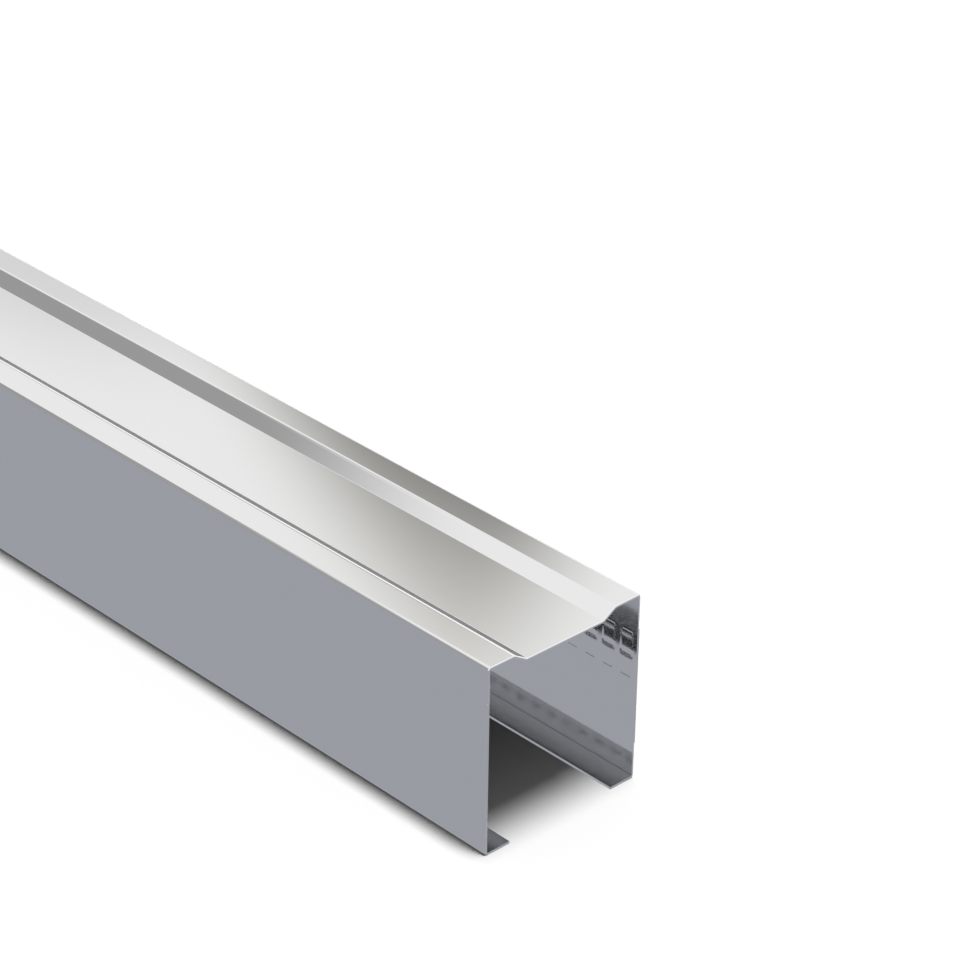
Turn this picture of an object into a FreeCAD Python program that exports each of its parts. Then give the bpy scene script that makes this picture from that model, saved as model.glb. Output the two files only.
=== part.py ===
"""Steel drywall stud: a galvanised C section rolled from one strip, lying with its web up.

X runs along the stud, Y across the web and Z up from the lips to the web. The origin is at the
middle of the length and of the width, on the plane that the two lips lie on.
"""

import FreeCAD
import Part
import math
import os

# Stock length and overall section, in millimetres
stud_length = 2400.0
web_width = 47.5
flange_height = 50.0
lip_length = 7.6
sheet_thickness = 0.6

# Inside radii of the bends between web and flange, and between flange and lip
web_corner_radius = 0.3
lip_corner_radius = 0.3

# Stiffening panel rolled into the web: flat strip at each edge, then a slope down to the panel.
# The slope's upper bend is round, and its lower bend is nearly sharp.
edge_flat_width = 8.1
slope_width = 3.8
panel_depth = 2.3
upper_bend_radius = 1.4
lower_bend_radius = 0.4


def corner(before, at, after, radius):
    """Returns the start, middle and end of the arc that rounds the corner at this point."""
    inward = (before - at).normalize()
    outward = (after - at).normalize()
    half_angle = inward.getAngle(outward) / 2.0
    setback = radius / math.tan(half_angle)
    start = at + inward * setback
    end = at + outward * setback
    bisector = (inward + outward).normalize()
    middle = at + bisector * (radius / math.sin(half_angle) - radius)
    return start, middle, end


def rounded_wire(points, radii):
    """Joins the points with straight runs, and rounds each point between them with a tangent arc."""
    edges = []
    last = points[0]
    for before, at, after, radius in zip(points, points[1:], points[2:], radii):
        start, middle, end = corner(before, at, after, radius)
        edges.append(Part.LineSegment(last, start).toShape())
        edges.append(Part.Arc(start, middle, end).toShape())
        last = end
    edges.append(Part.LineSegment(last, points[-1]).toShape())
    return Part.Wire(edges)


def outside_line():
    """Outer face of the bent strip, from one lip's tip round the web to the other's, seen end on."""
    half = web_width / 2.0
    top = flange_height
    panel = flange_height - panel_depth
    flat_end = half - edge_flat_width
    panel_edge = flat_end - slope_width
    side = [
        (half - lip_length, 0.0),
        (half, 0.0),
        (half, top),
        (flat_end, top),
        (panel_edge, panel),
    ]
    outline = [(-y, z) for y, z in side] + side[::-1]
    points = [FreeCAD.Vector(-stud_length / 2.0, y, z) for y, z in outline]

    # The strip lies inside this line. Bends that open outwards keep their inside radius here,
    # and all others carry the sheet's thickness as well.
    outer_lip = lip_corner_radius + sheet_thickness
    outer_web = web_corner_radius + sheet_thickness
    outer_upper = upper_bend_radius + sheet_thickness
    one_side = [outer_lip, outer_web, outer_upper, lower_bend_radius]
    return rounded_wire(points, one_side + one_side[::-1])


def stud():
    """The strip's section, extruded to the stock length."""
    outside = outside_line()
    section = outside.makeOffset2D(sheet_thickness, join=0, fill=True, openResult=True)
    return section.extrude(FreeCAD.Vector(stud_length, 0.0, 0.0))


os.makedirs("parts", exist_ok=True)

shape = stud()
solid = shape.Solids[0]
print("valid", shape.isValid(), "solids", len(shape.Solids), "faces", len(solid.Faces))
print("volume in cubic centimetres", round(solid.Volume / 1000.0, 2))
solid.exportStep("parts/stud.step")
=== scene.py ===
"""Looks of a steel drywall stud: a knurled, galvanised C section lying with its web up."""

import math

import bmesh
import bpy
from mathutils import Matrix, Vector


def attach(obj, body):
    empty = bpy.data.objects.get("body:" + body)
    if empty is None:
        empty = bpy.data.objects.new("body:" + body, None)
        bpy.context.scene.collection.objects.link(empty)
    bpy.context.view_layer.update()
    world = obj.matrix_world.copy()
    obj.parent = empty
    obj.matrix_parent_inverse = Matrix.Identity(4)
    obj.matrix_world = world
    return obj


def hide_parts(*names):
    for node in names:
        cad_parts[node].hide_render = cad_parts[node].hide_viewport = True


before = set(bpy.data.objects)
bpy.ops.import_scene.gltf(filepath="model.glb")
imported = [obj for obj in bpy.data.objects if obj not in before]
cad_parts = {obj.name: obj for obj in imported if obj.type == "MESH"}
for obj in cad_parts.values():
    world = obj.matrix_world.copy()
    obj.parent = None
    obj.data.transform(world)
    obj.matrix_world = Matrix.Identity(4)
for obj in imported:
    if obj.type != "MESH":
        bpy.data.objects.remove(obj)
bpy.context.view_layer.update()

MM = 0.001
# Two places nearer to each other than this are the same
CLOSE = 0.001 * MM

# Section of the stud, as it is rolled
STUD_LENGTH = 2400.0 * MM
WEB_WIDTH = 47.5 * MM
FLANGE_HEIGHT = 50.0 * MM
LIP_LENGTH = 7.6 * MM
SHEET = 0.6 * MM
WEB_CORNER = 0.3 * MM
LIP_CORNER = 0.3 * MM
EDGE_FLAT = 8.1 * MM
SLOPE_WIDTH = 3.8 * MM
PANEL_DEPTH = 2.3 * MM
UPPER_BEND = 1.4 * MM
LOWER_BEND = 0.4 * MM
HALF_LENGTH = STUD_LENGTH / 2
HALF_WIDTH = WEB_WIDTH / 2
BEND_STEPS = 8
# How far the shear turns the outer edge of a cut end over
EDGE_ROLL = 0.2 * MM

# Knurl rolled into both flanges: rows of shallow dents along the stud, pressed outwards from inside
# the channel, while the steel between two dents of a column goes inwards a little. The lowest dent's
# height is that of its middle line.
KNURL_ROWS = 6
KNURL_COLUMNS = 414
ROW_PITCH = 5.3 * MM
COLUMN_PITCH = STUD_LENGTH / KNURL_COLUMNS
LOWEST_DENT = 11.85 * MM
DENT_START = 0.2 * MM
DENT_WIDTH = 3.0 * MM
DENT_LENGTH = 4.6 * MM
DENT_END = 0.9 * MM
DENT_DEPTH = 0.044 * MM
BULGE = 0.024 * MM
BAND_MARGIN = 0.7 * MM
BAND_BOTTOM = LOWEST_DENT - DENT_WIDTH / 2 - BAND_MARGIN
BAND_TOP = LOWEST_DENT + (KNURL_ROWS - 1) * ROW_PITCH + DENT_WIDTH / 2 + BAND_MARGIN
BAND_LENGTHS = 2
# Corners of the band that are nearer to each other than this become one
WELD = 0.02 * MM
# Grid lines through each dent, along the stud and up the flange
COLUMN_STEPS = 6
ROW_STEPS = 5

# Kinds of arithmetic in the node trees. COMPARE takes steps that differ by under SAME_STEP as equal.
MATH = "ShaderNodeMath"
ADD = {"operation": "ADD"}
SUBTRACT = {"operation": "SUBTRACT"}
MULTIPLY = {"operation": "MULTIPLY"}
DIVIDE = {"operation": "DIVIDE"}
MULTIPLY_ADD = {"operation": "MULTIPLY_ADD"}
MINIMUM = {"operation": "MINIMUM"}
MAXIMUM = {"operation": "MAXIMUM"}
LESS_THAN = {"operation": "LESS_THAN"}
GREATER_THAN = {"operation": "GREATER_THAN"}
COMPARE = {"operation": "COMPARE"}
FLOORED_MODULO = {"operation": "FLOORED_MODULO"}
ROUND = {"operation": "ROUND"}
ABSOLUTE = {"operation": "ABSOLUTE"}
SAME_STEP = 0.25


def linear(hex_colour):
    """Turns an sRGB hex colour into the linear colour that shaders take."""
    channels = [int(hex_colour[i : i + 2], 16) / 255 for i in (1, 3, 5)]
    curve = [c / 12.92 if c <= 0.04045 else ((c + 0.055) / 1.055) ** 2.4 for c in channels]
    return (*curve, 1.0)


def add_node(tree, kind, settings=None, inputs=None):
    """Adds a node, sets its properties, and sets or links its inputs, by name or in their order.

    A node given as an input stands for its first output.
    """
    node = tree.nodes.new(kind)
    for name, value in (settings or {}).items():
        setattr(node, name, value)
    named = inputs if isinstance(inputs, dict) else dict(enumerate(inputs or ()))
    for name, value in named.items():
        if isinstance(value, bpy.types.Node):
            value = value.outputs[0]
        if isinstance(value, bpy.types.NodeSocket):
            tree.links.new(value, node.inputs[name])
        else:
            node.inputs[name].default_value = value
    return node


def new_material(name):
    """A material with an empty node tree."""
    material = bpy.data.materials.new(name)
    material.use_nodes = True
    material.node_tree.nodes.clear()
    return material


# Galvanised steel, cold rolled and dipped: the smooth zinc coat is a bright grey mirror that the
# rolls have dulled a little, with hairlines along the strip and faint changes in its dullness.
ZINC_COLOUR = "#efefef"
DULLNESS = (0.06, 0.07)
PATCH_SIZE = 22.2 * MM
HAIRLINE_LENGTH = 400.0 * MM
HAIRLINES_PER_MM = 0.9
HAIRLINE_DEPTH = 0.05 * MM
HAIRLINE_STRENGTH = 0.008


def galvanised_steel():
    """The finish of every rolled face."""
    material = new_material("galvanised_steel")
    tree = material.node_tree
    place = add_node(tree, "ShaderNodeTexCoord").outputs["Object"]
    hairline_scale = (1 / HAIRLINE_LENGTH, HAIRLINES_PER_MM / MM, HAIRLINES_PER_MM / MM)
    rolled = add_node(tree, "ShaderNodeMapping", inputs={"Vector": place, "Scale": hairline_scale})
    hairlines = add_node(
        tree,
        "ShaderNodeTexNoise",
        inputs={"Vector": rolled, "Scale": 1.0, "Detail": 3.0, "Roughness": 0.6},
    )
    patches = add_node(
        tree,
        "ShaderNodeTexNoise",
        inputs={"Vector": place, "Scale": 1 / PATCH_SIZE, "Detail": 2.0},
    )
    dullness = add_node(
        tree,
        "ShaderNodeMapRange",
        inputs={"Value": patches.outputs["Fac"], "To Min": DULLNESS[0], "To Max": DULLNESS[1]},
    )
    relief = add_node(
        tree,
        "ShaderNodeBump",
        inputs={
            "Height": hairlines.outputs["Fac"],
            "Strength": HAIRLINE_STRENGTH,
            "Distance": HAIRLINE_DEPTH,
        },
    )
    zinc_coat = add_node(
        tree,
        "ShaderNodeBsdfPrincipled",
        inputs={
            "Base Color": linear(ZINC_COLOUR),
            "Metallic": 1.0,
            "Roughness": dullness,
            "Normal": relief,
        },
    )
    add_node(tree, "ShaderNodeOutputMaterial", inputs={"Surface": zinc_coat})
    return material


# Sheared edge of the strip: bare bright steel, torn rough across its thickness.
BARE_STEEL_COLOUR = "#f6f6f7"
TEAR_GRAIN = 0.25 * MM
TEAR_ROUGHNESS = (0.25, 0.4)


def sheared_edge():
    """The finish of the cut ends and of the strip's long edges."""
    material = new_material("sheared_steel_edge")
    tree = material.node_tree
    place = add_node(tree, "ShaderNodeTexCoord").outputs["Object"]
    grain = add_node(
        tree,
        "ShaderNodeTexNoise",
        inputs={"Vector": place, "Scale": 1 / TEAR_GRAIN, "Detail": 2.0},
    )
    tear = add_node(
        tree,
        "ShaderNodeMapRange",
        inputs={
            "Value": grain.outputs["Fac"],
            "To Min": TEAR_ROUGHNESS[0],
            "To Max": TEAR_ROUGHNESS[1],
        },
    )
    steel = add_node(
        tree,
        "ShaderNodeBsdfPrincipled",
        inputs={"Base Color": linear(BARE_STEEL_COLOUR), "Metallic": 1.0, "Roughness": tear},
    )
    add_node(tree, "ShaderNodeOutputMaterial", inputs={"Surface": steel})
    return material


def section_line():
    """Corners of the strip's outer face, seen end on, with the outer radius of each bend.

    A bend that opens outwards has its inside radius there, with a minus sign.
    """
    flat_end = HALF_WIDTH - EDGE_FLAT
    side = [
        ((HALF_WIDTH - LIP_LENGTH, 0.0), None),
        ((HALF_WIDTH, 0.0), LIP_CORNER + SHEET),
        ((HALF_WIDTH, FLANGE_HEIGHT), WEB_CORNER + SHEET),
        ((flat_end, FLANGE_HEIGHT), UPPER_BEND + SHEET),
        ((flat_end - SLOPE_WIDTH, FLANGE_HEIGHT - PANEL_DEPTH), -LOWER_BEND),
    ]
    return [((-y, z), radius) for (y, z), radius in side] + side[::-1]


def bend_stations(before, at, after, radius):
    """Points round one bend with their outward normals, as BEND_STEPS short facets."""
    back = (before - at).normalized()
    ahead = (after - at).normalized()
    half_angle = back.angle(ahead) / 2
    middle = at + (back + ahead).normalized() * (abs(radius) / math.sin(half_angle))
    setback = abs(radius) / math.tan(half_angle)
    start = at + back * setback - middle
    end = at + ahead * setback - middle
    turn = start.angle_signed(end)
    stations = []
    for k in range(BEND_STEPS + 1):
        spoke = Matrix.Rotation(-turn * k / BEND_STEPS, 2) @ start
        outward = spoke.normalized() if radius > 0 else -spoke.normalized()
        stations.append((middle + spoke, outward))
    return stations


def section_stations(stops):
    """Points along the outer face with their outward normals, from one lip's tip to the other's.

    The flanges also get points at the heights in stops, so that the knurled band has its own edges.
    """
    line = [(Vector(corner), radius) for corner, radius in section_line()]
    stations = []
    for i, (at, radius) in enumerate(line):
        if radius is None:
            ahead = line[1][0] - at if i == 0 else at - line[-2][0]
            ahead.normalize()
            stations.append((at, Vector((-ahead.y, ahead.x))))
        else:
            stations += bend_stations(line[i - 1][0], at, line[i + 1][0], radius)
    with_stops = [stations[0]]
    for (here, outward), (there, turned) in zip(stations, stations[1:]):
        outermost = min(abs(here.x), abs(there.x)) > HALF_WIDTH - CLOSE
        if outermost and abs(here.y - there.y) > FLANGE_HEIGHT / 2:
            heights = sorted(stops, reverse=here.y > there.y)
            with_stops += [(Vector((here.x, z)), outward) for z in heights]
        with_stops.append((there, turned))
    return with_stops


def place_mesh(name, mesh):
    """Puts a finished mesh into the scene as an object at the origin."""
    piece = bpy.data.objects.new(name, mesh)
    bpy.context.collection.objects.link(piece)
    return piece


def smooth_strip(name, stations, face_material, cut_material):
    """One closed length of bent strip over the whole stud, from a run of section stations.

    The shear has turned the outer edge of each cut end over by EDGE_ROLL.
    """
    mesh = bpy.data.meshes.new(name)
    build = bmesh.new()
    count = len(stations)
    rings = []
    for x in (-HALF_LENGTH, -HALF_LENGTH + EDGE_ROLL, HALF_LENGTH - EDGE_ROLL, HALF_LENGTH):
        turned = EDGE_ROLL if abs(x) == HALF_LENGTH else 0.0
        outer = [build.verts.new((x, p.x - n.x * turned, p.y - n.y * turned)) for p, n in stations]
        inner = [build.verts.new((x, p.x - n.x * SHEET, p.y - n.y * SHEET)) for p, n in stations]
        rings.append((outer, inner))
    for (low_outer, low_inner), (high_outer, high_inner) in zip(rings, rings[1:]):
        for i in range(count - 1):
            build.faces.new((low_outer[i], low_outer[i + 1], high_outer[i + 1], high_outer[i]))
            build.faces.new((low_inner[i + 1], low_inner[i], high_inner[i], high_inner[i + 1]))
        for i in (0, count - 1):
            side = build.faces.new((low_outer[i], high_outer[i], high_inner[i], low_inner[i]))
            side.material_index = 1
    for outer, inner in (rings[0], rings[-1]):
        for i in range(count - 1):
            cut = build.faces.new((outer[i + 1], outer[i], inner[i], inner[i + 1]))
            cut.material_index = 1
    bmesh.ops.recalc_face_normals(build, faces=build.faces)
    for face in build.faces:
        face.smooth = face.material_index == 0
    build.to_mesh(mesh)
    build.free()

    # The faces are shaded as round bends, but cut edges and turned edges are shaded flat
    turned_over = 0.1
    outwards = [Vector((0.0, n.x, n.y)) for p, n in stations]
    directions = []
    for polygon in mesh.polygons:
        flat = polygon.material_index == 1 or abs(polygon.normal.x) > turned_over
        for vertex in polygon.vertices:
            outward = outwards[vertex % count]
            inside = (vertex // count) % 2 == 1
            if flat:
                directions.append(tuple(polygon.normal))
            else:
                directions.append(tuple(-outward if inside else outward))
    mesh.normals_split_custom_set(directions)
    mesh.materials.append(face_material)
    mesh.materials.append(cut_material)
    return place_mesh(name, mesh)


def band_inputs(tree):
    """Gives the tree its named inputs, set to the sizes of one length of band, and its output."""
    sizes = {
        "Start": -HALF_LENGTH,
        "Length": STUD_LENGTH / BAND_LENGTHS,
        "Column Pitch": COLUMN_PITCH,
        "Row Pitch": ROW_PITCH,
        "First Dent": DENT_START,
        "Lowest Dent": LOWEST_DENT,
        "Bottom": BAND_BOTTOM,
        "Top": BAND_TOP,
        "Dent Length": DENT_LENGTH,
        "Dent Width": DENT_WIDTH,
        "Dent End": DENT_END,
        "Dent Depth": DENT_DEPTH,
        "Bulge": BULGE,
        "Face": HALF_WIDTH,
        "Sheet": SHEET,
    }
    counts = {"Columns": KNURL_COLUMNS // BAND_LENGTHS, "Rows": KNURL_ROWS}
    sockets = tree.interface
    sockets.new_socket("Geometry", in_out="INPUT", socket_type="NodeSocketGeometry")
    for name, value in sizes.items():
        size = sockets.new_socket(name, in_out="INPUT", socket_type="NodeSocketFloat")
        size.default_value = value
    for name, value in counts.items():
        number = sockets.new_socket(name, in_out="INPUT", socket_type="NodeSocketInt")
        number.default_value = value
    sockets.new_socket("Material", in_out="INPUT", socket_type="NodeSocketMaterial")
    sockets.new_socket("Geometry", in_out="OUTPUT", socket_type="NodeSocketGeometry")
    return add_node(tree, "NodeGroupInput").outputs


def count_steps(tree, place, lines, steps):
    """A grid line's step within its dent, and the number of dents before it.

    The grid is centred and its lines are 1 apart. The first dent starts at the second line, because
    the first line is the band's own edge.
    """
    to_first_dent = add_node(tree, MATH, MULTIPLY_ADD, (lines, 0.5, -1.5))
    counted = add_node(tree, MATH, ADD, (place, to_first_dent))
    line = add_node(tree, MATH, ROUND, (counted,))
    step = add_node(tree, MATH, FLOORED_MODULO, (line, steps))
    whole = add_node(tree, MATH, SUBTRACT, (line, step))
    dents = add_node(tree, MATH, DIVIDE, (whole, steps))
    return step, dents


def dent_length_steps(tree, given, place, lines):
    """Along the stud: each line's place, its share of the dent's depth, and that share's slope.

    Steps 0 to 2 climb one end of the dent, two steps to an end, and steps 3 to 5 go down the other.
    """
    step, dents = count_steps(tree, place, lines, COLUMN_STEPS)
    start = add_node(tree, MATH, MULTIPLY_ADD, (dents, given["Column Pitch"], given["First Dent"]))
    half_end = add_node(tree, MATH, MULTIPLY, (given["Dent End"], 0.5))
    climbed = add_node(tree, MATH, MULTIPLY_ADD, (step, half_end, start))

    # From step 3 on, the line also jumps over the even stretch between the two ends
    jump = add_node(tree, MATH, MULTIPLY_ADD, (given["Dent End"], -2.5, given["Dent Length"]))
    past_middle = add_node(tree, MATH, GREATER_THAN, (step, 2.5))
    reached = add_node(tree, MATH, MULTIPLY_ADD, (past_middle, jump, climbed))
    along = add_node(tree, "ShaderNodeClamp", inputs=(reached, 0.0, given["Length"]))

    steps_left = add_node(tree, MATH, SUBTRACT, (COLUMN_STEPS - 1, step))
    from_end = add_node(tree, MATH, MINIMUM, (step, steps_left))
    share = add_node(tree, MATH, MULTIPLY, (from_end, 0.5))
    climbing = add_node(tree, MATH, COMPARE, (step, 1.0, SAME_STEP))
    falling = add_node(tree, MATH, COMPARE, (step, 4.0, SAME_STEP))
    way = add_node(tree, MATH, SUBTRACT, (climbing, falling))
    slope = add_node(tree, MATH, DIVIDE, (way, given["Dent End"]))
    return along, share, slope


def dent_width_steps(tree, given, place, lines):
    """Up the flange: each line's height, how far it stands out, and the slope of that.

    Steps 0 to 2 climb a dent's lower side, and steps 2 to 4 go down its upper one.
    """
    step, dents = count_steps(tree, place, lines, ROW_STEPS)
    quarter = add_node(tree, MATH, MULTIPLY, (given["Dent Width"], 0.25))
    half = add_node(tree, MATH, MULTIPLY, (given["Dent Width"], 0.5))
    lower_side = add_node(tree, MATH, SUBTRACT, (given["Lowest Dent"], half))
    start = add_node(tree, MATH, MULTIPLY_ADD, (dents, given["Row Pitch"], lower_side))
    reached = add_node(tree, MATH, MULTIPLY_ADD, (step, quarter, start))
    up = add_node(tree, "ShaderNodeClamp", inputs=(reached, given["Bottom"], given["Top"]))

    # Only the steel between two dents of a column goes inwards
    pitches = add_node(tree, MATH, SUBTRACT, (given["Rows"], 1.0))
    highest = add_node(tree, MATH, MULTIPLY_ADD, (pitches, given["Row Pitch"], given["Lowest Dent"]))
    above_lowest = add_node(tree, MATH, GREATER_THAN, (up, given["Lowest Dent"]))
    below_highest = add_node(tree, MATH, LESS_THAN, (up, highest))
    between = add_node(tree, MATH, MULTIPLY, (above_lowest, below_highest))
    bulge = add_node(tree, MATH, MULTIPLY, (between, given["Bulge"]))
    rise = add_node(tree, MATH, ADD, (given["Dent Depth"], bulge))

    off_middle = add_node(tree, MATH, SUBTRACT, (step, 2.0))
    steps_down = add_node(tree, MATH, ABSOLUTE, (off_middle,))
    step_down = add_node(tree, MATH, MULTIPLY, (rise, -0.5))
    level = add_node(tree, MATH, MULTIPLY_ADD, (steps_down, step_down, given["Dent Depth"]))
    climbing = add_node(tree, MATH, COMPARE, (step, 1.0, SAME_STEP))
    falling = add_node(tree, MATH, COMPARE, (step, 3.0, SAME_STEP))
    way = add_node(tree, MATH, SUBTRACT, (climbing, falling))
    climb = add_node(tree, MATH, MULTIPLY, (way, rise))
    slope = add_node(tree, MATH, DIVIDE, (climb, half))
    return up, level, slope


def band_tree():
    """Geometry nodes for one length of knurled band on the -Y flange.

    It is a grid with a line at each step of each dent, which then gets the sheet's thickness. Its
    lean attribute is the slope of the face along and up the band.
    """
    tree = bpy.data.node_groups.new("knurled_band", "GeometryNodeTree")
    given = band_inputs(tree)
    across_lines = add_node(tree, MATH, MULTIPLY_ADD, (given["Columns"], COLUMN_STEPS, 2.0))
    up_lines = add_node(tree, MATH, MULTIPLY_ADD, (given["Rows"], ROW_STEPS, 2.0))
    grid = add_node(
        tree,
        "GeometryNodeMeshGrid",
        inputs={
            "Size X": add_node(tree, MATH, SUBTRACT, (across_lines, 1.0)),
            "Size Y": add_node(tree, MATH, SUBTRACT, (up_lines, 1.0)),
            "Vertices X": across_lines,
            "Vertices Y": up_lines,
        },
    )
    position = add_node(tree, "GeometryNodeInputPosition")
    at = add_node(tree, "ShaderNodeSeparateXYZ", inputs=(position,)).outputs
    along, share, share_slope = dent_length_steps(tree, given, at["X"], across_lines)
    up, level, level_slope = dent_width_steps(tree, given, at["Y"], up_lines)
    height = add_node(tree, MATH, MULTIPLY, (share, level))
    place = add_node(tree, "ShaderNodeCombineXYZ", inputs=(along, up, height))

    # The dents are shaded as waves, which are pi / 2 times as steep as a straight slope at its middle
    slope_along = add_node(tree, MATH, MULTIPLY, (share_slope, level))
    slope_up = add_node(tree, MATH, MULTIPLY, (level_slope, share))
    lean_along = add_node(tree, MATH, MULTIPLY, (slope_along, math.pi / 2))
    lean_up = add_node(tree, MATH, MULTIPLY, (slope_up, math.pi / 2))
    lean = add_node(tree, "ShaderNodeCombineXYZ", inputs=(lean_along, lean_up))
    marked = add_node(
        tree,
        "GeometryNodeStoreNamedAttribute",
        {"data_type": "FLOAT_VECTOR", "domain": "POINT"},
        {"Geometry": grid, "Name": "lean", "Value": lean},
    )
    shaped = add_node(tree, "GeometryNodeSetPosition", inputs={"Geometry": marked, "Position": place})

    inward = add_node(tree, MATH, MULTIPLY, (given["Sheet"], -1.0))
    offset = add_node(tree, "ShaderNodeCombineXYZ", inputs={"Z": inward})
    pushed = add_node(
        tree,
        "GeometryNodeExtrudeMesh",
        inputs={"Mesh": shaped, "Offset": offset, "Offset Scale": 1.0, "Individual": False},
    )
    both = add_node(tree, "GeometryNodeJoinGeometry")
    for layer in (pushed, shaped):
        tree.links.new(layer.outputs[0], both.inputs[0])
    closed = add_node(tree, "GeometryNodeMergeByDistance", inputs={"Geometry": both, "Distance": WELD})
    stood = add_node(
        tree, "GeometryNodeTransform", inputs={"Geometry": closed, "Rotation": (math.pi / 2, 0.0, 0.0)}
    )
    outer_face = add_node(tree, MATH, MULTIPLY, (given["Face"], -1.0))
    corner = add_node(tree, "ShaderNodeCombineXYZ", inputs=(given["Start"], outer_face))
    placed = add_node(tree, "GeometryNodeTransform", inputs={"Geometry": stood, "Translation": corner})
    plain = add_node(tree, "GeometryNodeRealizeInstances", inputs={"Geometry": placed})
    finished = add_node(
        tree, "GeometryNodeSetMaterial", inputs={"Geometry": plain, "Material": given["Material"]}
    )
    add_node(tree, "NodeGroupOutput", inputs={"Geometry": finished})
    return tree


def grown_mesh(name, tree, start, material):
    """Runs the tree for the length of band that begins at start, and makes its result a mesh."""
    holder = bpy.data.objects.new(name + "_holder", bpy.data.meshes.new(name + "_holder"))
    bpy.context.collection.objects.link(holder)
    modifier = holder.modifiers.new("Knurl", "NODES")
    modifier.node_group = tree
    items = tree.interface.items_tree
    sockets = {item.name: item.identifier for item in items if item.in_out == "INPUT"}
    modifier[sockets["Material"]] = material
    modifier[sockets["Start"]] = start
    evaluated = holder.evaluated_get(bpy.context.evaluated_depsgraph_get())
    mesh = bpy.data.meshes.new_from_object(evaluated)
    mesh.name = name
    bpy.data.objects.remove(holder)
    return mesh


def knurled_band(name, tree, start, side, face_material, cut_material):
    """One length of knurled band. side is -1 at the -Y flange and 1 at the +Y one."""
    mesh = grown_mesh(name, tree, start, face_material)
    leans = [item.vector.copy() for item in mesh.attributes["lean"].data]
    mesh.attributes.remove(mesh.attributes["lean"])
    build = bmesh.new()
    build.from_mesh(mesh)
    if side > 0:
        bmesh.ops.transform(build, matrix=Matrix.Diagonal((1, -1, 1, 1)), verts=build.verts)
    bmesh.ops.recalc_face_normals(build, faces=build.faces)

    # The two faces of the sheet look along Y, and its narrow sides don't
    along_y = 0.5
    for face in build.faces:
        face.smooth = abs(face.normal.y) > along_y
        at_cut = abs(abs(face.calc_center_median().x) - HALF_LENGTH) < CLOSE
        face.material_index = 1 if at_cut else 0
    build.to_mesh(mesh)
    build.free()
    directions = []
    for polygon in mesh.polygons:
        facing = polygon.normal.y
        for vertex in polygon.vertices:
            if abs(facing) > along_y:
                lean = leans[vertex]
                outward = Vector((-lean.x, side, -lean.y)).normalized()
                directions.append(tuple(outward if facing * side > 0 else -outward))
            else:
                directions.append(tuple(polygon.normal))
    mesh.normals_split_custom_set(directions)
    mesh.materials.clear()
    mesh.materials.append(face_material)
    mesh.materials.append(cut_material)
    return place_mesh(name, mesh)


def stud_pieces():
    """The smooth strips of the section, each over the whole length, and the knurled bands between."""
    zinc = galvanised_steel()
    edge = sheared_edge()
    stations = section_stations((BAND_BOTTOM, BAND_TOP))
    breaks = []
    for i, (point, outward) in enumerate(stations):
        if min(abs(point.y - BAND_BOTTOM), abs(point.y - BAND_TOP)) < CLOSE:
            breaks.append(i)
    runs = {
        "near_lip_strip": stations[: breaks[0] + 1],
        "web_strip": stations[breaks[1] : breaks[2] + 1],
        "far_lip_strip": stations[breaks[3] :],
    }
    pieces = [smooth_strip(name, run, zinc, edge) for name, run in runs.items()]
    knurl = band_tree()
    for number in range(BAND_LENGTHS):
        start = STUD_LENGTH * number / BAND_LENGTHS - HALF_LENGTH
        near_name = f"near_knurled_band_{number + 1}"
        far_name = f"far_knurled_band_{number + 1}"
        pieces.append(knurled_band(near_name, knurl, start, -1, zinc, edge))
        pieces.append(knurled_band(far_name, knurl, start, 1, zinc, edge))
    return pieces


for piece in stud_pieces():
    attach(piece, "root")
    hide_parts("stud")

# Floor: a plain pale studio floor, white to the camera with the stud's shadow on it. The steel
# mirrors it as an even pale grey, as it does in the photograph. The inner faces of the channel
# mirror one another up to seven times before the floor shows. In the last two mirrorings the floor
# carries painted shade and painted light: it rises from dark to bright between two places near the
# channel's middle, as the photograph shows it, which paints the soft dark zones under the web and
# above the lip, and the very last mirroring gets more painted light. Floor and lamp are in metres.
MIRRORED_FLOOR = "#a3a6ad"
MIRRORINGS = 7
# Painted shade and painted light: across Y, the last two mirrorings of the floor go from dark to bright
# between these places, at these levels, and the very last one gets this much more painted light
PAINTED_SHADE_PLACES = (-0.6 * MM, 3.9 * MM)
PAINTED_SHADE_LEVELS = (0.0, 1.65)
PAINTED_LIGHT_GAIN = 0.2
FLOOR_REACH = 6.0
WHITE = (1.0, 1.0, 1.0, 1.0)


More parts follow.
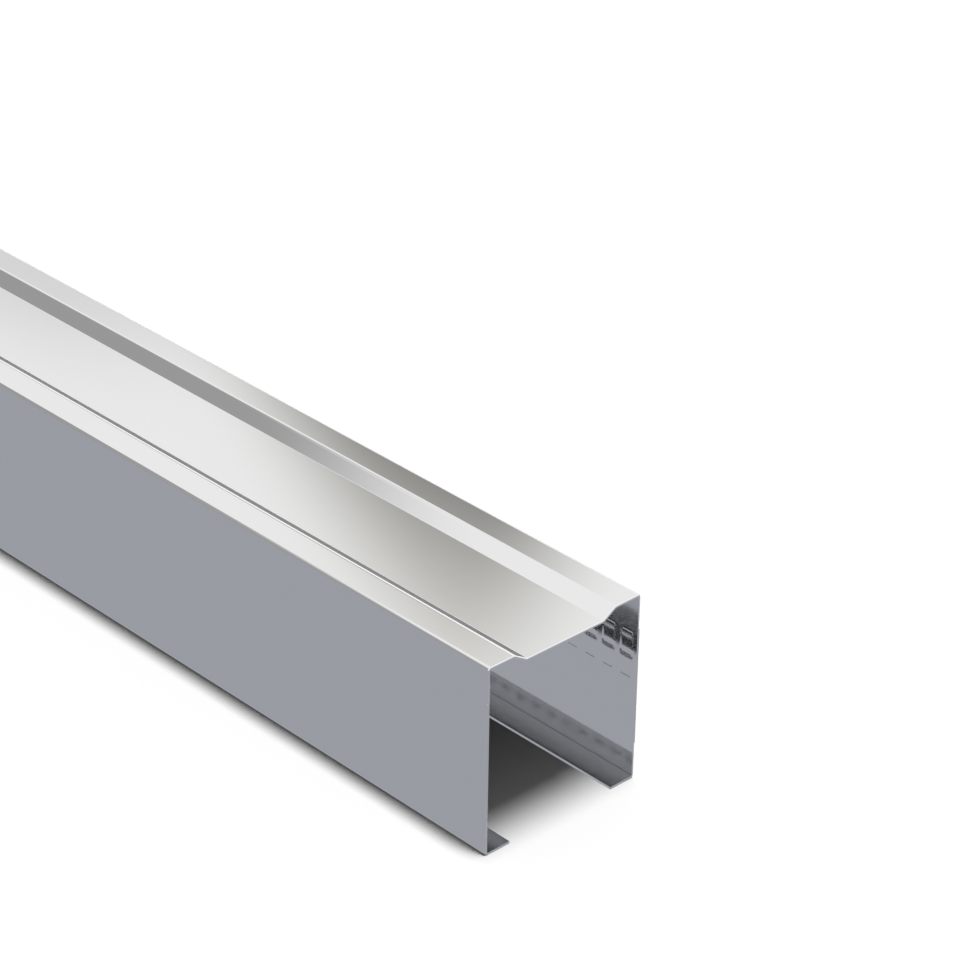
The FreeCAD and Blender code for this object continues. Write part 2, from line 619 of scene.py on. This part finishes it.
def pale_floor():
    """Matt white to the camera, and a light of its own to the steel, with painted shade and light in
    its last two mirrorings.
    """
    material = new_material("pale_floor")
    tree = material.node_tree
    path = add_node(tree, "ShaderNodeLightPath").outputs
    place = add_node(tree, "ShaderNodeTexCoord").outputs["Object"]
    parts = add_node(tree, "ShaderNodeSeparateXYZ", inputs=(place,)).outputs
    # Painted shade and painted light in the sixth and seventh mirrorings: dark on the -Y side of the
    # channel's middle, bright on the +Y side
    painted_shade_ramp = add_node(tree, "ShaderNodeMapRange", inputs=(parts["Y"], *PAINTED_SHADE_PLACES, *PAINTED_SHADE_LEVELS))
    painted_shade_mirroring = add_node(tree, MATH, GREATER_THAN, (path["Glossy Depth"], MIRRORINGS - 1.5))
    painted_light_mirroring = add_node(tree, MATH, GREATER_THAN, (path["Glossy Depth"], MIRRORINGS - 0.5))
    painted_gain = add_node(tree, MATH, MULTIPLY_ADD, (painted_light_mirroring, PAINTED_LIGHT_GAIN, 1.0))
    painted_shade_level = add_node(tree, MATH, MULTIPLY, (painted_shade_ramp, painted_gain))
    change = add_node(tree, MATH, SUBTRACT, (painted_shade_level, 1.0))
    level = add_node(tree, MATH, MULTIPLY_ADD, (painted_shade_mirroring, change, 1.0))

    # Light that has already left the floor doesn't brighten it again
    before_floor = add_node(tree, MATH, LESS_THAN, (path["Diffuse Depth"], 0.5))
    strength = add_node(tree, MATH, MULTIPLY, (level, before_floor))
    even = add_node(tree, "ShaderNodeEmission", inputs=(linear(MIRRORED_FLOOR), strength))
    matt = add_node(tree, "ShaderNodeBsdfDiffuse", inputs={"Color": WHITE})
    seen = add_node(tree, "ShaderNodeMixShader", inputs=(path["Is Camera Ray"], even, matt))
    add_node(tree, "ShaderNodeOutputMaterial", inputs={"Surface": seen})
    return material


def studio_floor():
    """A flat square that reaches FLOOR_REACH each way from the stud's middle."""
    mesh = bpy.data.meshes.new("floor")
    corners = [(x * FLOOR_REACH, y * FLOOR_REACH, 0.0) for x, y in ((-1, -1), (1, -1), (1, 1), (-1, 1))]
    mesh.from_pydata(corners, [], [(0, 1, 2, 3)])
    mesh.materials.append(pale_floor())
    return place_mesh("floor", mesh)


studio_floor()

# World: the steel mirrors a wide white ceiling with a dark flag, a dark card and a narrow dark strip
# hung from it, and a glow towards its rims. Places on the ceiling are along X and across Y, in
# heights of the ceiling above the stud. A soft edge is the place where a part begins and the place
# where it is full. They were set from where light and dark lie along the web in the photograph.
CEILING_LEVEL = 0.944
LOWEST_RISE = 0.02
NEAR_ROWS = (1.95, 1.45)

# The flag slants: its two edges and its darkness change by these amounts for each height across
FLAG_ROW = 1.15
FLAG_BEGINS = {"place": -1.332, "slant": -2.057, "width": 0.186, "widening": 0.652, "least": 0.08}
FLAG_ENDS = {"place": -1.17, "slant": -0.68, "width": 0.107, "widening": 0.219, "least": 0.06}
FLAG_SHARE = 0.468
FLAG_SHARE_CHANGE = 3.852
FLAG_SHARE_MOST = 0.8
FLAG_WARMTH = {"Green": 0.015, "Blue": 0.07}

# Past the flag the ceiling's far end is a little darker
FAR_END_ALONG = (-1.4635, -1.6865)
FAR_END_ACROSS = (1.0965, 1.1975)
FAR_END_SHARE = 0.216

CARD_ALONG = (-0.82, -0.95)
CARD_ACROSS = (0.55, 0.15)
CARD_SHARE = 0.62

GLOW = 0.16
FAR_RIM_ACROSS = (1.25, 1.75)
END_RIM_ALONG = (-0.6, 0.0)
END_RIM_SHARE = 0.3
NEAR_RIM_ACROSS = (-0.45, -0.95)
NEAR_RIM_BEGINS = (-1.45, -0.95)
NEAR_RIM_ENDS = (0.4, 0.0)

# The strip shows only in steel that is itself seen in a mirror
STRIP_BEGINS = (2.25, 2.45)
STRIP_ENDS = (3.25, 2.95)
STRIP_SHARE = 0.78

# How bright the world is to the floor, and to the camera
AMBIENT = 0.15
BACKGROUND = 1.0


def ceiling_part(tree, *edges):
    """A part of the ceiling, 1 inside and 0 outside. An edge is a coordinate and its soft edge."""
    inside = 1.0
    for edge in edges:
        step = add_node(tree, "ShaderNodeMapRange", {"interpolation_type": "SMOOTHSTEP"}, edge)
        inside = add_node(tree, MATH, MULTIPLY, (inside, step))
    return inside


def slanted_edge(tree, row, edge):
    """Where a soft edge begins and is full, on a row of the ceiling."""
    middle = add_node(tree, MATH, MULTIPLY_ADD, (row, edge["slant"], edge["place"]))
    wide = add_node(tree, MATH, MULTIPLY_ADD, (row, edge["widening"], edge["width"]))
    width = add_node(tree, MATH, MAXIMUM, (wide, edge["least"]))
    begins = add_node(tree, MATH, MULTIPLY_ADD, (width, -0.5, middle))
    full = add_node(tree, MATH, MULTIPLY_ADD, (width, 0.5, middle))
    return begins, full


def darkened(tree, light, part, share):
    """Takes this share of the light away in a part of the ceiling."""
    shade = add_node(tree, MATH, MULTIPLY, (part, share))
    left = add_node(tree, MATH, SUBTRACT, (1.0, shade))
    return add_node(tree, MATH, MULTIPLY, (light, left))


def dark_flag(tree, along, across):
    """The slanting flag, and the share of the light that it takes away."""
    row = add_node(tree, MATH, SUBTRACT, (across, FLAG_ROW))
    begins = slanted_edge(tree, row, FLAG_BEGINS)
    ends = slanted_edge(tree, row, FLAG_ENDS)
    flag = ceiling_part(tree, (along, *begins), (along, *ends[::-1]), (across, *NEAR_ROWS))
    slanted = add_node(tree, MATH, MULTIPLY_ADD, (row, FLAG_SHARE_CHANGE, FLAG_SHARE))
    share = add_node(tree, "ShaderNodeClamp", inputs=(slanted, 0.0, FLAG_SHARE_MOST))
    return flag, share


def bright_rims(tree, along, across):
    """The parts towards the ceiling's rims. The end rim glows less than the other two."""
    far_rim = ceiling_part(tree, (across, *FAR_RIM_ACROSS))
    end_rim = ceiling_part(tree, (along, *END_RIM_ALONG))
    near_rim = ceiling_part(
        tree, (across, *NEAR_RIM_ACROSS), (along, *NEAR_RIM_BEGINS), (along, *NEAR_RIM_ENDS)
    )
    faint_end = add_node(tree, MATH, MULTIPLY, (end_rim, END_RIM_SHARE))
    far_and_end = add_node(tree, MATH, MAXIMUM, (far_rim, faint_end))
    return add_node(tree, MATH, MAXIMUM, (far_and_end, near_rim))


def ceiling(tree, path):
    """The ceiling's colour and strength, as the steel mirrors them."""
    direction = add_node(tree, "ShaderNodeTexCoord").outputs["Generated"]
    parts = add_node(tree, "ShaderNodeSeparateXYZ", inputs=(direction,)).outputs
    rise = add_node(tree, MATH, MAXIMUM, (parts["Z"], LOWEST_RISE))
    along = add_node(tree, MATH, DIVIDE, (parts["X"], rise))
    across = add_node(tree, MATH, DIVIDE, (parts["Y"], rise))

    flag, flag_share = dark_flag(tree, along, across)
    far_end = ceiling_part(
        tree, (along, *FAR_END_ALONG), (across, *FAR_END_ACROSS), (across, *NEAR_ROWS)
    )
    card = ceiling_part(tree, (along, *CARD_ALONG), (across, *CARD_ACROSS))
    rims = bright_rims(tree, along, across)
    strip = ceiling_part(tree, (across, *STRIP_BEGINS), (across, *STRIP_ENDS))
    mirrored_twice = add_node(tree, MATH, GREATER_THAN, (path["Glossy Depth"], 1.5))
    shown_strip = add_node(tree, MATH, MULTIPLY, (strip, mirrored_twice))

    light = darkened(tree, CEILING_LEVEL, flag, flag_share)
    light = darkened(tree, light, far_end, FAR_END_SHARE)
    light = darkened(tree, light, card, CARD_SHARE)
    light = add_node(tree, MATH, MULTIPLY_ADD, (rims, GLOW, light))
    light = darkened(tree, light, shown_strip, STRIP_SHARE)

    colour = {"Red": 1.0}
    for name, warmth in FLAG_WARMTH.items():
        colour[name] = add_node(tree, MATH, MULTIPLY_ADD, (flag, -warmth, 1.0))
    return add_node(tree, "ShaderNodeCombineColor", inputs=colour), light


def studio_world():
    """White to the camera, the ceiling to the steel, and even light to the floor."""
    world = bpy.data.worlds.new("studio")
    bpy.context.scene.world = world
    world.use_nodes = True
    tree = world.node_tree
    tree.nodes.clear()
    path = add_node(tree, "ShaderNodeLightPath").outputs
    colour, light = ceiling(tree, path)
    mirrored = add_node(tree, "ShaderNodeBackground", inputs=(colour, light))
    soft = add_node(tree, "ShaderNodeBackground", inputs=(WHITE, AMBIENT))
    white = add_node(tree, "ShaderNodeBackground", inputs=(WHITE, BACKGROUND))
    after_floor = add_node(tree, MATH, GREATER_THAN, (path["Diffuse Depth"], 0.5))
    lit = add_node(tree, "ShaderNodeMixShader", inputs=(after_floor, mirrored, soft))
    shown = add_node(tree, "ShaderNodeMixShader", inputs=(path["Is Camera Ray"], lit, white))
    add_node(tree, "ShaderNodeOutputWorld", inputs={"Surface": shown})


studio_world()

# Lamp: a long soft lamp far overhead, a little towards the stud's +X end and +Y side. It only casts
# the shadow on the floor; the steel mirrors the ceiling instead. Its lean and spread are angles in
# degrees along X and across Y, seen from the stud. Its level is how bright it makes a white floor.
LAMP_HEIGHT = 200.0
LAMP_LEAN = (6.37, 2.8)
LAMP_SPREAD = (20.5, 6.2)
LAMP_LEVEL = 0.9


def overhead_lamp():
    """The lamp, looking straight down."""
    place = [LAMP_HEIGHT * math.tan(math.radians(lean)) for lean in LAMP_LEAN]
    size = [2 * LAMP_HEIGHT * math.tan(math.radians(spread) / 2) for spread in LAMP_SPREAD]
    light = bpy.data.lights.new("overhead_lamp", "AREA")
    light.shape = "ELLIPSE"
    light.size, light.size_y = size
    light.energy = LAMP_LEVEL * (math.pi * LAMP_HEIGHT) ** 2
    lamp = bpy.data.objects.new("overhead_lamp", light)
    lamp.location = (*place, LAMP_HEIGHT)
    lamp.visible_glossy = False
    bpy.context.collection.objects.link(lamp)


overhead_lamp()

# Camera: the photograph's viewing angle, from the stud's +X end
CAMERA_PLACE = (1666.4 * MM, -470.7 * MM, 459.1 * MM)
CAMERA_AZIMUTH = 46.4352
CAMERA_ELEVATION = 29.2615
CAMERA_ROLL = 0.8839
FOCAL_IN_PIXELS = 3498.8
IMAGE_WIDTH = 960
SENSOR_WIDTH = 36.0
NEAREST_SEEN = 10.0 * MM


def photograph_camera():
    """The camera, with its roll about its own axis applied first."""
    lens = bpy.data.cameras.new("camera")
    lens.sensor_width = SENSOR_WIDTH
    lens.lens = FOCAL_IN_PIXELS / IMAGE_WIDTH * SENSOR_WIDTH
    lens.clip_start = NEAREST_SEEN
    lens.dof.use_dof = False
    camera = bpy.data.objects.new("camera", lens)
    camera.matrix_world = (
        Matrix.Translation(CAMERA_PLACE)
        @ Matrix.Rotation(math.radians(CAMERA_AZIMUTH), 4, "Z")
        @ Matrix.Rotation(math.radians(90 - CAMERA_ELEVATION), 4, "X")
        @ Matrix.Rotation(math.radians(CAMERA_ROLL), 4, "Z")
    )
    bpy.context.collection.objects.link(camera)
    return camera


bpy.context.scene.camera = photograph_camera()
bpy.context.scene.view_settings.view_transform = "Standard"
bpy.context.scene.cycles.glossy_bounces = MIRRORINGS
